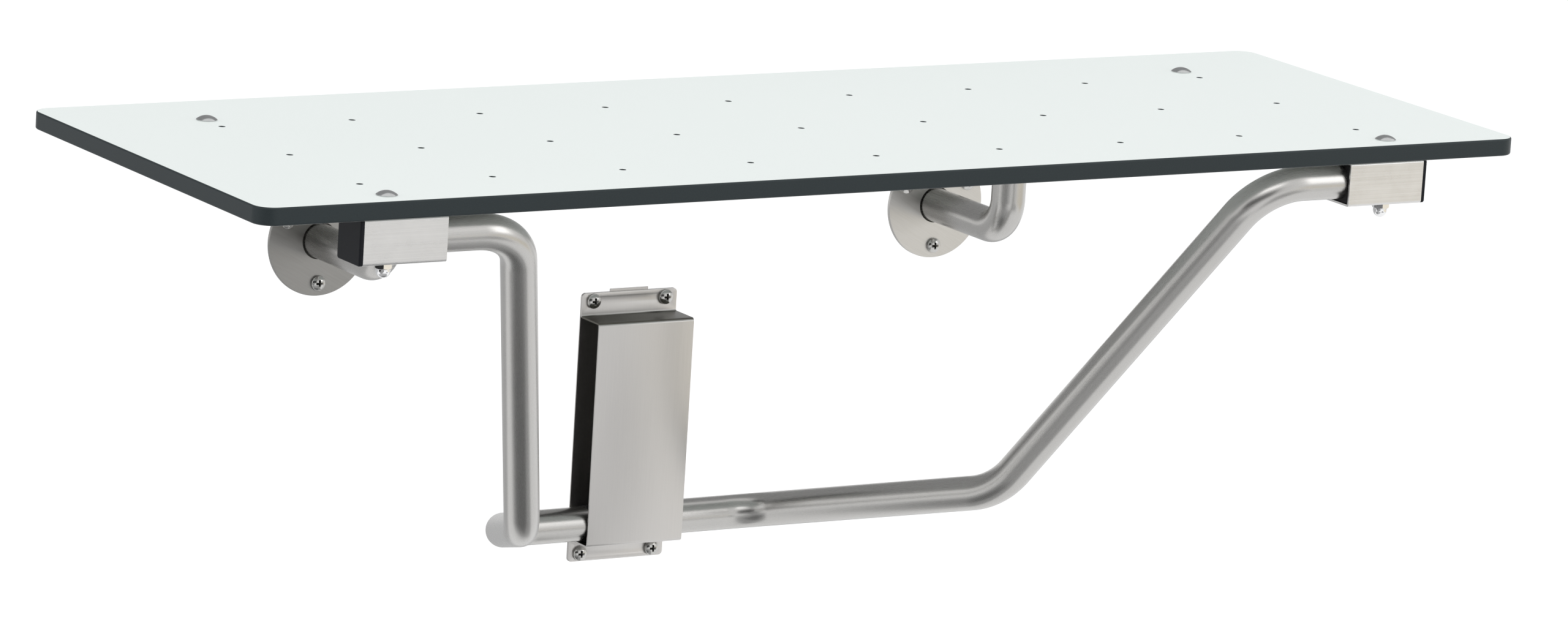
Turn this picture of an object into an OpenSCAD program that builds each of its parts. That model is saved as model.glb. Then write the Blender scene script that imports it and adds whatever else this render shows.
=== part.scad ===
// Fold down wall seat. Millimetres, +Z up. The wall is the plane Y = 0, and the seat's
// front faces -Y. X = 0 is the middle, and Z = 0 is the height of the two wall flanges.

/* [Seat plate] */
// Width of the plate along the wall
seat_w = 1020; // [940:10:1200]
// Depth of the plate behind the fold axis
seat_back = 66.5; // [40:0.5:67]
// Depth of the plate in front of the front sleeves' axis
seat_front = 20; // [18:1:60]
// Thickness of the solid laminate
seat_t = 12.7; // [8:0.1:16]
// Radius of the plate's four corners
seat_corner_r = 14; // [6:1:40]
// Radius of the softened edge, above and below
seat_edge_r = 1.5; // [0.5:0.25:3]

/* [Drain holes] */
// Diameter of a drain hole
drain_d = 5; // [3:0.5:8]
// Spacing of the drain holes, both ways
drain_pitch = 101.6; // [80:0.1:108]
// Drain holes across the width
drain_columns = 9; // [1:1:9]
// Drain holes from back to front
drain_rows = 3; // [1:1:3]
// First row of drain holes, in front of the fold axis
drain_setback = 24; // [10:1:30]

/* [Tube] */
// Outside diameter of the round tube
tube_od = 25.4; // [20:0.1:26.4]
// Wall of the round tube
tube_wall = 1.5; // [1:0.1:3]

/* [Hinge sleeves] */
// Outside size of the square sleeve
sleeve_w = 31.8; // [30.8:0.1:34]
// Wall of the sleeve
sleeve_wall = 1.6; // [1.2:0.1:1.8]
// Corner radius of the sleeve
sleeve_corner_r = 2; // [1.9:0.1:3]
// Length of the sleeve
sleeve_l = 63.5; // [58:0.5:80]
// Middle of the seat bolt, from the plate's side edge
bolt_edge = 104; // [90:1:130]
// Seat bolt, from the sleeve's outer end
bolt_inset = 24; // [18:1:26]
// Length of the bush, and of the tube inside the sleeve
bush_l = 30; // [20:1:30]
// Thickness of the plug's visible head
plug_head_t = 3; // [1.5:0.5:5]
// Depth of the plug inside the sleeve
plug_depth = 12; // [6:1:13]
// Wall of the plug's hollow body
plug_wall = 2; // [1:0.5:4]

/* [Seat bolts and nuts] */
// Thread diameter of the seat bolts
bolt_d = 6.35; // [5:0.05:8]
// Diameter of the domed head
bolt_head_d = 15; // [12:0.5:18]
// Height of the domed head
bolt_head_h = 3.3; // [2:0.1:4]
// Depth of the square neck
bolt_neck_h = 4; // [2:0.5:6]
// Size across the flats of the acorn nut
nut_flats = 11.1; // [10:0.1:14]
// Height of the nut's hexagon
nut_hex_h = 5.5; // [4:0.5:8]
// Height of the nut with its dome
nut_h = 12; // [11.5:0.5:16]

/* [Support frame] */
// Distance between the rear and the front sleeves' axes
axis_spread = 265; // [240:1:290]
// Corner where the tube turns down, inwards from the front sleeve's end
shoulder_run = 62.5; // [50:0.5:80]
// Knee corner, inwards from that corner
knee_run = 106; // [90:1:115]
// Knee corner, from the wall
knee_y = 208; // [195:0.5:214]
// Knee corner, below the sleeves' axes
knee_drop = 253.5; // [246:0.5:262]
// Corner where the tube turns along the wall, from the side of the bracket
foot_gap = 65; // [60:1:80]
// Height of the sleeves' axes above the bar at the wall
bar_drop = 307; // [300:0.5:316]
// Bend radius at the shoulder, on the tube's middle line
shoulder_r = 45; // [30:1:60]
// Bend radius at the knee
knee_r = 60; // [30:1:80]
// Bend radius where the tube turns along the wall
foot_r = 40; // [30:1:50]

/* [Wall tubes and flanges] */
// Wall to the fold axis
axis_stand_off = 101.6; // [95:0.1:110]
// Fold axis above the flanges
axis_rise = 85; // [82:0.5:110]
// Flange, inwards from the rear sleeve's end
flange_run = 106.5; // [70:0.5:130]
// Bend radius of the wall tube, on its middle line
wall_tube_r = 24; // [22:0.5:26]
// Diameter of the flange
flange_d = 81; // [78:1:96]
// Thickness of the flange
flange_t = 3; // [2:0.5:5]
// Circle that the flange screws stand on
screw_circle_d = 62; // [58:1:64]
// Number of screws in a flange
flange_screws = 3; // [3:1:4]

/* [Guide bracket] */
// Width of the bracket
guide_w = 80; // [60:1:100]
// Height of the bracket's box, outside
guide_h = 168.3; // [166:0.1:200]
// Sheet that the bracket is folded from
guide_sheet = 1.2; // [1:0.1:2]
// Outside radius of the bracket's folds
guide_fold_r = 2.5; // [2.2:0.1:4]
// Height of the screw tabs
guide_tab_h = 17; // [15:0.5:25]
// Corner radius of the tabs
guide_tab_r = 3; // [1:0.5:5]
// Bracket screw, from the side of its tab
guide_screw_inset = 9.6; // [9:0.1:15]
// Bracket screw, from the box
guide_screw_rise = 11; // [9:0.5:11]
// Thickness of the plate behind the bracket
back_plate_t = 1; // [0.8:0.1:2]
// Width of the tongue on top of the back plate
tongue_w = 32; // [20:1:50]
// Height of the tongue above the tab
tongue_h = 2; // [1:0.5:6]
// Wall of the glide on the bar
glide_wall = 0.6; // [0.5:0.1:1]
// Glide's end, inwards from the side of the bracket
glide_inset = 5; // [2:0.5:15]

/* [Wall screws] */
// Thread diameter of the wall screws
screw_d = 5.5; // [4:0.1:6]
// Diameter of the plain neck, from the head as far as the wall
screw_neck_d = 5; // [3.6:0.1:5.4]
// Length of the screw below its head
screw_l = 16; // [14:1:60]
// Diameter of the pan head
screw_head_d = 11.2; // [9:0.1:13]
// Height of the pan head
screw_head_h = 3.6; // [3:0.1:5]
// Length of the screw's point
screw_point_l = 4; // [3:0.5:8]
// Diameter of the screw's blunt tip
screw_tip_d = 0.8; // [0.4:0.1:2]
// Width of the cross recess
recess_w = 1.7; // [1:0.1:2.2]
// Reach of the cross recess across the head
recess_reach = 6.4; // [4:0.1:7.5]
// Depth of the cross recess
recess_depth = 2; // [1:0.1:2.4]

/* [Clearances] */
// Running clearance round a turning tube
running_gap = 0.05; // [0.02:0.01:0.1]
// Slip clearance round a bush or plug in its sleeve
slip_gap = 0.1; // [0.05:0.01:0.2]
// Clearance round a bolt, a screw or a fixed tube in its hole
bolt_gap = 0.2; // [0.1:0.05:0.5]
// From the wall's plane to the start of a screw's thread
thread_gap = 0.2; // [0.15:0.05:0.4]
// Clearance of the glide in the bracket, on each side
glide_gap = 0.15; // [0.1:0.05:0.3]
// Clearance below the glide at the bottom of the bracket
rest_gap = 0.3; // [0.1:0.1:1]

/* [Hidden] */
$fn = 64;
overrun = 1;
// Length of the band over each seam of a bent tube, and how far it stands proud
seam_l = 1;
seam_t = 0.02;
left = -1;
right = 1;
tube_r = tube_od / 2;
axis_z = axis_rise;
rear_y = -axis_stand_off;
front_y = rear_y - axis_spread;
bolt_x = seat_w / 2 - bolt_edge;
sleeve_out_x = bolt_x + bolt_inset;
sleeve_in_x = sleeve_out_x - sleeve_l;
sleeve_bore = sleeve_w - 2 * sleeve_wall;
sleeve_bore_r = sleeve_corner_r - sleeve_wall;
insert_w = sleeve_bore - 2 * slip_gap;
tube_end_x = sleeve_in_x + bush_l;
shoulder_x = sleeve_in_x - shoulder_run;
knee_x = shoulder_x - knee_run;
foot_x = guide_w / 2 + foot_gap;
flange_x = sleeve_in_x - flange_run;
plate_z = axis_z + sleeve_w / 2;
plate_top_z = plate_z + seat_t;
plate_front_y = front_y - seat_front;
plate_back_y = rear_y + seat_back;
plate_depth = plate_back_y - plate_front_y;
drain_x = drain_pitch * (drain_columns - 1) / 2;
nut_z = axis_z - sleeve_w / 2;
nut_bore_h = nut_h - nut_flats / 2;
bolt_tip_z = nut_z - nut_bore_h + bolt_gap;
glide_r = tube_r + running_gap + glide_wall;
glide_l = guide_w - 2 * glide_inset;
bar_y = -(back_plate_t + glide_gap + glide_r);
bar_z = axis_z - bar_drop;
guide_depth = 2 * (glide_r + glide_gap) + guide_sheet;
guide_bottom_z = bar_z - glide_r - rest_gap - guide_sheet;
guide_mid_z = guide_bottom_z + guide_h / 2;
guide_full_h = guide_h + 2 * guide_tab_h;
guide_screw_x = guide_w / 2 - guide_screw_inset;
guide_screw_z = guide_h / 2 + guide_screw_rise;
seat_grey = [0.88, 0.92, 0.91];
steel_grey = [0.66, 0.64, 0.61];
plug_black = [0.07, 0.07, 0.08];
nylon_black = [0.05, 0.05, 0.05];

// Corner points of the right half of the support frame's middle line, from the middle of
// the bar to the end in the front sleeve, with the bend radius at each
frame_path = [
    [0, bar_y, bar_z],
    [foot_x, bar_y, bar_z],
    [knee_x, -knee_y, axis_z - knee_drop],
    [shoulder_x, front_y, axis_z],
    [tube_end_x, front_y, axis_z]
];
frame_bends = [0, foot_r, knee_r, shoulder_r, 0];

function unit(v) = v / norm(v);
// Angle that the tube turns through at corner b, and how far the bend reaches from it
function turn(a, b, c) = acos(unit(b - a) * unit(c - b));
function reach(a, b, c, r) = r * tan(turn(a, b, c) / 2);
// A direction at right angles to v
function across(v) = unit(cross(v, abs(v[2]) < 0.9 * norm(v) ? [0, 0, 1] : [0, 1, 0]));

module ring(r, wall) {
    difference() {
        circle(r);
        circle(r - wall);
    }
}

// A narrow band that joins a straight run to a bend, a hair proud of the tube
module seam_band(r, wall) {
    translate([0, 0, -seam_l / 2]) linear_extrude(seam_l) ring(r + seam_t, wall + 2 * seam_t);
}

// Draws the tube along +Z from point i of the path p, bends it towards +X, and goes on from
// there. At point i, x is where the drawing's X axis points in the path's own space.
module tube_from(i, p, radii, r, wall, x) {
    trim = i == 0 ? 0 : reach(p[i - 1], p[i], p[i + 1], radii[i]);
    u = unit(p[i + 1] - p[i]);
    if (i + 2 < len(p)) {
        run = norm(p[i + 1] - p[i]) - trim - reach(p[i], p[i + 1], p[i + 2], radii[i + 1]);
        w = unit(p[i + 2] - p[i + 1]);
        inward = unit(w - (w * u) * u);
        angle = turn(p[i], p[i + 1], p[i + 2]);
        bend_r = radii[i + 1];
        rotate([0, 0, atan2(cross(x, inward) * u, x * inward)]) {
            linear_extrude(run) ring(r, wall);
            translate([0, 0, run]) seam_band(r, wall);
            translate([bend_r, 0, run]) {
                rotate([90, 0, 180]) rotate_extrude(angle = angle) translate([bend_r, 0]) ring(r, wall);
                rotate([0, angle, 0]) translate([-bend_r, 0, 0]) {
                    seam_band(r, wall);
                    tube_from(i + 1, p, radii, r, wall, cos(angle) * inward - sin(angle) * u);
                }
            }
        }
    } else {
        linear_extrude(norm(p[i + 1] - p[i]) - trim) ring(r, wall);
    }
}

// A tube along straight runs between the points p, with bend radius radii[i] at point i
module bent_tube(p, radii, r, wall) {
    z = unit(p[1] - p[0]);
    x = across(z);
    y = cross(z, x);
    multmatrix([
        [x[0], y[0], z[0], p[0][0]],
        [x[1], y[1], z[1], p[0][1]],
        [x[2], y[2], z[2], p[0][2]],
        [0, 0, 0, 1]
    ]) tube_from(0, p, radii, r, wall, x);
}

module rounded_rect(w, h, r) {
    square([w - 2 * r, h], center = true);
    square([w, h - 2 * r], center = true);
    for (x = [-1, 1], y = [-1, 1]) {
        translate([x * (w / 2 - r), y * (h / 2 - r)]) circle(r);
    }
}

// Places what follows, drawn for the right side, on either side
module on_side(side) {
    if (side == left) {
        mirror([1, 0, 0]) children();
    } else {
        children();
    }
}

// Places what follows, drawn along +X for the right side, on a sleeve's axis
module on_sleeve(side, y) {
    on_side(side) translate([0, y, axis_z]) children();
}

module at_bolts() {
    for (side = [left, right], y = [rear_y, front_y]) {
        translate([side * bolt_x, y, 0]) children();
    }
}

// Section of the plate's edge: full at mid height, rounded above and below
module edge_section(w) {
    square([w - seat_edge_r, seat_t]);
    translate([0, seat_edge_r]) square([w, seat_t - 2 * seat_edge_r]);
    for (z = [seat_edge_r, seat_t - seat_edge_r]) {
        translate([w - seat_edge_r, z]) circle(seat_edge_r);
    }
}

module plate_blank() {
    w = seat_w - 2 * seat_corner_r;
    d = plate_depth - 2 * seat_corner_r;
    translate([-w / 2, -d / 2, 0]) cube([w, d, seat_t]);
    for (turned = [0, 180]) {
        rotate([0, 0, turned]) {
            translate([w / 2, d / 2, 0]) rotate([90, 0, 0])
                linear_extrude(d) edge_section(seat_corner_r);
            translate([-w / 2, d / 2, 0]) rotate([90, 0, 90])
                linear_extrude(w) edge_section(seat_corner_r);
            translate([w / 2, d / 2, 0]) rotate_extrude(angle = 90) edge_section(seat_corner_r);
            translate([-w / 2, d / 2, 0]) rotate([0, 0, 90])
                rotate_extrude(angle = 90) edge_section(seat_corner_r);
        }
    }
}

module seat_plate() {
    neck_hole = bolt_d + 2 * bolt_gap;
    color(seat_grey) difference() {
        translate([0, (plate_front_y + plate_back_y) / 2, plate_z]) plate_blank();
        for (i = [0:drain_columns - 1], j = [0:drain_rows - 1]) {
            y = rear_y - drain_setback - j * drain_pitch;
            translate([i * drain_pitch - drain_x, y, plate_z - overrun])
                cylinder(h = seat_t + 2 * overrun, d = drain_d);
        }
        at_bolts() {
            translate([0, 0, plate_z - overrun]) cylinder(h = seat_t + 2 * overrun, d = neck_hole);
            translate([-neck_hole / 2, -neck_hole / 2, plate_top_z - bolt_neck_h - bolt_gap])
                cube([neck_hole, neck_hole, bolt_neck_h + bolt_gap + overrun]);
        }
    }
}

module seat_bolts() {
    dome_r = (pow(bolt_head_d / 2, 2) + pow(bolt_head_h, 2)) / (2 * bolt_head_h);
    color(steel_grey) at_bolts() {
        intersection() {
            translate([0, 0, plate_top_z + bolt_head_h - dome_r]) sphere(dome_r);
            translate([0, 0, plate_top_z]) cylinder(h = bolt_head_h + overrun, d = bolt_head_d + overrun);
        }
        translate([-bolt_d / 2, -bolt_d / 2, plate_top_z - bolt_neck_h])
            cube([bolt_d, bolt_d, bolt_neck_h]);
        translate([0, 0, bolt_tip_z]) cylinder(h = plate_top_z - bolt_neck_h - bolt_tip_z, d = bolt_d);
    }
}

module acorn_nuts() {
    dome_r = nut_flats / 2;
    color(steel_grey) at_bolts() difference() {
        union() {
            translate([0, 0, nut_z - nut_hex_h])
                cylinder(h = nut_hex_h, d = nut_flats / cos(30), $fn = 6);
            translate([0, 0, nut_z - nut_h + dome_r]) cylinder(h = nut_h - dome_r, r = dome_r);
            translate([0, 0, nut_z - nut_h + dome_r]) sphere(dome_r);
        }
        translate([0, 0, nut_z - nut_bore_h])
            cylinder(h = nut_bore_h + overrun, d = bolt_d + 2 * running_gap);
    }
}

module sleeve(side, y) {
    color(steel_grey) difference() {
        on_sleeve(side, y) translate([sleeve_in_x, 0, 0]) rotate([90, 0, 90])
            linear_extrude(sleeve_l) difference() {
                rounded_rect(sleeve_w, sleeve_w, sleeve_corner_r);
                rounded_rect(sleeve_bore, sleeve_bore, sleeve_bore_r);
            }
        on_sleeve(side, y) translate([bolt_x, 0, -sleeve_w / 2 - overrun])
            cylinder(h = sleeve_w + 2 * overrun, d = bolt_d + 2 * bolt_gap);
    }
}

module plug(side, y) {
    cavity_w = insert_w - 2 * plug_wall;
    color(plug_black) on_sleeve(side, y) translate([sleeve_out_x, 0, 0]) rotate([90, 0, 90]) {
        linear_extrude(plug_head_t) rounded_rect(sleeve_w, sleeve_w, sleeve_corner_r);
        translate([0, 0, -plug_depth]) linear_extrude(plug_depth) difference() {
            rounded_rect(insert_w, insert_w, sleeve_bore_r);
            square([cavity_w, cavity_w], center = true);
        }
    }
}

module bush(side, y) {
    color(nylon_black) on_sleeve(side, y) translate([sleeve_in_x, 0, 0]) rotate([90, 0, 90])
        linear_extrude(bush_l) difference() {
            rounded_rect(insert_w, insert_w, sleeve_bore_r);
            circle(tube_r + running_gap);
        }
}

module support_frame() {
    color(steel_grey) for (side = [left, right]) {
        on_side(side) bent_tube(frame_path, frame_bends, tube_r, tube_wall);
    }
}

module bar_glide() {
    color(nylon_black) translate([-glide_l / 2, bar_y, bar_z]) rotate([0, 90, 0])
        linear_extrude(glide_l) ring(glide_r, glide_wall);
}

module wall_tube(side) {
    path = [
        [flange_x, 0, 0],
        [flange_x, rear_y, 0],
        [flange_x, rear_y, axis_z],
        [tube_end_x, rear_y, axis_z]
    ];
    color(steel_grey) on_side(side) bent_tube(path, [0, wall_tube_r, wall_tube_r, 0], tube_r, tube_wall);
}

// Places what follows at each screw of a flange, one of them straight below its middle
module at_flange_screws(side) {
    for (i = [0:flange_screws - 1]) {
        a = 270 + i * 360 / flange_screws;
        translate([side * flange_x + cos(a) * screw_circle_d / 2, 0, sin(a) * screw_circle_d / 2])
            children();
    }
}

module at_bracket_screws() {
    for (x = [-1, 1], z = [-1, 1]) {
        translate([x * guide_screw_x, 0, guide_mid_z + z * guide_screw_z]) children();
    }
}

module flange(side) {
    color(steel_grey) difference() {
        translate([side * flange_x, 0, 0]) rotate([90, 0, 0]) cylinder(h = flange_t, d = flange_d);
        translate([side * flange_x, overrun, 0]) rotate([90, 0, 0])
            cylinder(h = flange_t + 2 * overrun, d = tube_od + 2 * bolt_gap);
        at_flange_screws(side) translate([0, overrun, 0]) rotate([90, 0, 0])
            cylinder(h = flange_t + 2 * overrun, d = screw_d + 2 * bolt_gap);
    }
}

// A pan head screw along Y, its head's underside at depth seat_y in front of the wall
module pan_screw(seat_y) {
    neck_l = seat_y + thread_gap;
    dome_h = screw_head_h / 2;
    dome_r = (pow(screw_head_d / 2, 2) + pow(dome_h, 2)) / (2 * dome_h);
    translate([0, -seat_y, 0]) rotate([90, 0, 0]) difference() {
        union() {
            intersection() {
                translate([0, 0, screw_head_h - dome_r]) sphere(dome_r);
                cylinder(h = screw_head_h + overrun, d = screw_head_d);
            }
            translate([0, 0, -neck_l]) cylinder(h = neck_l, d = screw_neck_d);
            translate([0, 0, screw_point_l - screw_l])
                cylinder(h = screw_l - screw_point_l - neck_l, d = screw_d);
            translate([0, 0, -screw_l]) cylinder(h = screw_point_l, d1 = screw_tip_d, d2 = screw_d);
        }
        for (cross_turn = [0, 90]) {
            rotate([0, 0, cross_turn])
                translate([-recess_reach / 2, -recess_w / 2, screw_head_h - recess_depth])
                cube([recess_reach, recess_w, recess_depth + overrun]);
        }
    }
}

module flange_screw_set(side) {
    color(steel_grey) at_flange_screws(side) pan_screw(flange_t);
}

module bracket_screws() {
    color(steel_grey) at_bracket_screws() pan_screw(back_plate_t + guide_sheet);
}

// The bracket's section, with X as the distance from the wall and Y up from mid height
module guide_section() {
    inner_r = guide_fold_r - guide_sheet;
    web_z = guide_h / 2;
    box_l = guide_depth + guide_fold_r;
    intersection() {
        translate([guide_depth - box_l / 2, 0]) difference() {
            rounded_rect(box_l, guide_h, guide_fold_r);
            rounded_rect(box_l - 2 * guide_sheet, guide_h - 2 * guide_sheet, inner_r);
        }
        translate([0, -web_z]) square([guide_depth, guide_h]);
    }
    for (z = [-web_z - guide_tab_h, web_z - guide_sheet]) {
        translate([0, z]) square([guide_sheet, guide_tab_h + guide_sheet]);
    }
}

module guide_bracket() {
    color(steel_grey) difference() {
        intersection() {
            translate([-guide_w / 2, -back_plate_t, guide_mid_z]) rotate([90, 0, 90])
                linear_extrude(guide_w) mirror([1, 0, 0]) guide_section();
            translate([0, 0, guide_mid_z]) rotate([90, 0, 0]) linear_extrude(guide_depth + back_plate_t)
                rounded_rect(guide_w, guide_full_h, guide_tab_r);
        }
        at_bracket_screws() translate([0, -back_plate_t + overrun, 0]) rotate([90, 0, 0])
            cylinder(h = guide_sheet + 2 * overrun, d = screw_d + 2 * bolt_gap);
    }
}

module guide_back_plate() {
    color(steel_grey) difference() {
        translate([0, 0, guide_mid_z]) rotate([90, 0, 0]) linear_extrude(back_plate_t) {
            rounded_rect(guide_w, guide_full_h, guide_tab_r);
            translate([-tongue_w / 2, 0]) square([tongue_w, guide_full_h / 2 + tongue_h]);
        }
        at_bracket_screws() translate([0, overrun, 0]) rotate([90, 0, 0])
            cylinder(h = back_plate_t + 2 * overrun, d = screw_d + 2 * bolt_gap);
    }
}

module front_left_sleeve() { sleeve(left, front_y); }
module front_right_sleeve() { sleeve(right, front_y); }
module rear_left_sleeve() { sleeve(left, rear_y); }
module rear_right_sleeve() { sleeve(right, rear_y); }
module front_left_plug() { plug(left, front_y); }
module front_right_plug() { plug(right, front_y); }
module rear_left_plug() { plug(left, rear_y); }
module rear_right_plug() { plug(right, rear_y); }
module front_left_bush() { bush(left, front_y); }
module front_right_bush() { bush(right, front_y); }
module rear_left_bush() { bush(left, rear_y); }
module rear_right_bush() { bush(right, rear_y); }
module left_wall_tube() { wall_tube(left); }
module right_wall_tube() { wall_tube(right); }
module left_flange() { flange(left); }
module right_flange() { flange(right); }
module left_flange_screws() { flange_screw_set(left); }
module right_flange_screws() { flange_screw_set(right); }

seat_plate();
seat_bolts();
acorn_nuts();
front_left_sleeve();
front_right_sleeve();
rear_left_sleeve();
rear_right_sleeve();
front_left_plug();
front_right_plug();
rear_left_plug();
rear_right_plug();
front_left_bush();
front_right_bush();
rear_left_bush();
rear_right_bush();
support_frame();
bar_glide();
guide_bracket();
guide_back_plate();
bracket_screws();
left_wall_tube();
right_wall_tube();
left_flange();
right_flange();
left_flange_screws();
right_flange_screws();
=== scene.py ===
# Looks of a wall seat that folds up against its wall. Metres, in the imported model's own
# frame: the wall is Y = 0, the seat's front faces -Y, and Z = 0 is the flanges' height.
import math

import bmesh
import bpy
from mathutils import Matrix, Vector


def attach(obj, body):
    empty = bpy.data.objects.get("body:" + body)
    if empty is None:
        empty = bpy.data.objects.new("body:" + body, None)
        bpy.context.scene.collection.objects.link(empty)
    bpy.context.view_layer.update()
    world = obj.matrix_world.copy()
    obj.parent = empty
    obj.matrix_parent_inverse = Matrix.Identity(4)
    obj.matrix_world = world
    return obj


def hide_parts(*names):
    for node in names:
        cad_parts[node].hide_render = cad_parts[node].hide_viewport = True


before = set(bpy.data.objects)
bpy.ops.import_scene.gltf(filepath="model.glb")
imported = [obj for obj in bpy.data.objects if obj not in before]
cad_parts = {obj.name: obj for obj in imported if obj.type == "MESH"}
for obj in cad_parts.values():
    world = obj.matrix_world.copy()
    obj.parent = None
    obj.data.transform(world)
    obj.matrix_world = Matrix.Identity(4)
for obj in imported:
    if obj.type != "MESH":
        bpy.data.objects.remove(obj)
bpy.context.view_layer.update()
scene = bpy.context.scene
MM = 0.001

# Camera. A long lens, from the front left and a little above, turned slightly on its axis.
CAMERA_PLACE = Vector((-2.9383, -5.0011, 1.1705))
CAMERA_AZIMUTH = math.radians(31.569)
CAMERA_DIP = math.radians(11.977)
CAMERA_ROLL = math.radians(3.507)

camera_data = bpy.data.cameras.new("camera")
camera_data.sensor_width = 36
camera_data.lens = 185.47
camera_data.clip_end = 60
camera = bpy.data.objects.new("camera", camera_data)
scene.collection.objects.link(camera)
ahead = Vector((
    math.sin(CAMERA_AZIMUTH) * math.cos(CAMERA_DIP),
    math.cos(CAMERA_AZIMUTH) * math.cos(CAMERA_DIP),
    -math.sin(CAMERA_DIP),
))
level = Vector((math.cos(CAMERA_AZIMUTH), -math.sin(CAMERA_AZIMUTH), 0))
side = math.cos(CAMERA_ROLL) * level + math.sin(CAMERA_ROLL) * level.cross(ahead)
camera.matrix_world = Matrix.Translation(CAMERA_PLACE) @ Matrix(
    (side, side.cross(ahead), -ahead)
).transposed().to_4x4()
scene.camera = camera

# Light. A white world, a broad soft lamp high in front, one on each side, and a dark card
# behind the camera that gives the round tubes their dark stripe. The card isn't seen itself.
scene.view_settings.view_transform = "Standard"


def add_node(tree, kind, values=None, **settings):
    """A node of a tree, with its settings and the values of its inputs."""
    made = tree.nodes.new(kind)
    for name, value in settings.items():
        setattr(made, name, value)
    for key, value in (values or {}).items():
        made.inputs[key].default_value = value
    return made


def seen_directly(tree):
    """1 for rays that show the surroundings: the camera's own, mirrored and refracted ones."""
    path = add_node(tree, "ShaderNodeLightPath")
    total = path.outputs["Is Camera Ray"]
    for name in ("Is Glossy Ray", "Is Transmission Ray"):
        most = add_node(tree, "ShaderNodeMath", operation="MAXIMUM")
        tree.links.new(total, most.inputs[0])
        tree.links.new(path.outputs[name], most.inputs[1])
        total = most.outputs[0]
    return total


world = bpy.data.worlds.new("studio")
scene.world = world
world.use_nodes = True
tree = world.node_tree
tree.nodes.clear()
lit = add_node(tree, "ShaderNodeBackground", {"Color": (0.985, 0.99, 1.0, 1), "Strength": 1.0})
shown = add_node(tree, "ShaderNodeBackground", {"Color": (1, 1, 1, 1), "Strength": 1.0})
either = add_node(tree, "ShaderNodeMixShader")
output = add_node(tree, "ShaderNodeOutputWorld")
tree.links.new(seen_directly(tree), either.inputs[0])
tree.links.new(lit.outputs[0], either.inputs[1])
tree.links.new(shown.outputs[0], either.inputs[2])
tree.links.new(either.outputs[0], output.inputs[0])


def soft_lamp(name, place, target, width, height, radiance):
    """A rectangular lamp that gives the same brightness over its whole face."""
    data = bpy.data.lights.new(name, "AREA")
    data.shape = "RECTANGLE"
    data.size, data.size_y = width, height
    data.energy = radiance * math.pi * width * height
    lamp = bpy.data.objects.new(name, data)
    scene.collection.objects.link(lamp)
    aim = Vector(target) - Vector(place)
    lamp.matrix_world = Matrix.Translation(place) @ aim.to_track_quat("-Z", "Y").to_matrix().to_4x4()
    return lamp


soft_lamp("front_lamp", (-1.6, -4.2, 3.0), (0, -0.2, 0), 3.2, 1.0, 1.7)
soft_lamp("left_lamp", (-3.6, 0.4, 1.6), (0, -0.2, 0), 1.6, 2.4, 0.4)
soft_lamp("right_lamp", (2.9, -3.0, 1.3), (0.3, -0.2, 0), 1.6, 2.0, 1.8)


def flat_board(name, corners, material):
    """A plain four sided board of the studio."""
    mesh = bpy.data.meshes.new(name)
    mesh.from_pydata(corners, [], [(0, 1, 2, 3)])
    mesh.materials.append(material)
    board = bpy.data.objects.new(name, mesh)
    scene.collection.objects.link(board)
    return board


def matt_paint(name, colour):
    """A flat matt paint for the studio's cards."""
    made = bpy.data.materials.new(name)
    made.use_nodes = True
    shader = made.node_tree.nodes["Principled BSDF"]
    shader.inputs["Base Color"].default_value = (*colour, 1)
    shader.inputs["Roughness"].default_value = 0.9
    shader.inputs["Specular IOR Level"].default_value = 0.0
    return made


def hide_card(card):
    """Leaves a card to mirror like rays alone: it isn't seen, and takes no light from the seat."""
    card.visible_camera = False
    card.visible_diffuse = False
    card.visible_shadow = False


FLOOR_Z = -0.62
CARD_REACH = 7.2
CARD_HALF = 3.6
CARD_LOW, CARD_HIGH = -0.6, 2.35
toward = Vector((-math.sin(CAMERA_AZIMUTH), -math.cos(CAMERA_AZIMUTH), 0))
centre = toward * CARD_REACH
hide_card(flat_board("dark_card", [
    centre + level * CARD_HALF * s + Vector((0, 0, z))
    for s, z in ((-1, CARD_LOW), (1, CARD_LOW), (1, CARD_HIGH), (-1, CARD_HIGH))
], matt_paint("card_black", (0.07, 0.07, 0.07))))
for name, colour, rise, x0, x1, y0, y1 in (
    ("side_mat", (0.34, 0.34, 0.34), 0.01, -4.5, -1.0, -4.2, -0.62),
    ("front_mat", (0.5, 0.5, 0.5), 0.02, -1.0, 0.15, -1.2, -0.05),
    # A dark mat under the seat, seen only in reflections: painted shadow of the seat on the floor.
    ("near_mat", (0.22, 0.22, 0.22), 0.03, -0.47, -0.04, -0.5, -0.14),
    ("left_mat", (0.03, 0.03, 0.03), 0.02, -4.4, -2.7, -2.0, -0.3),
    ("bay_mat", (0.4, 0.4, 0.4), 0.01, 0.3, 1.05, -2.45, -1.2),
    ("rear_mat", (0.6, 0.6, 0.6), 0.01, -3.4, 1.6, 0.35, 4.0),
    ("right_mat", (0.84, 0.78, 0.66), 0.01, 1.55, 4.5, -4.6, -0.6),
):
    hide_card(flat_board(name, [
        Vector((x, y, FLOOR_Z + rise)) for x, y in ((x0, y0), (x1, y0), (x1, y1), (x0, y1))
    ], matt_paint(name, colour)))
hide_card(flat_board("back_card", [
    Vector((x, 0.9, z)) for x, z in ((-3.2, 0.12), (3.2, 0.12), (3.2, 3.0), (-3.2, 3.0))
], matt_paint("card_grey", (0.42, 0.42, 0.42))))

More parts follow.
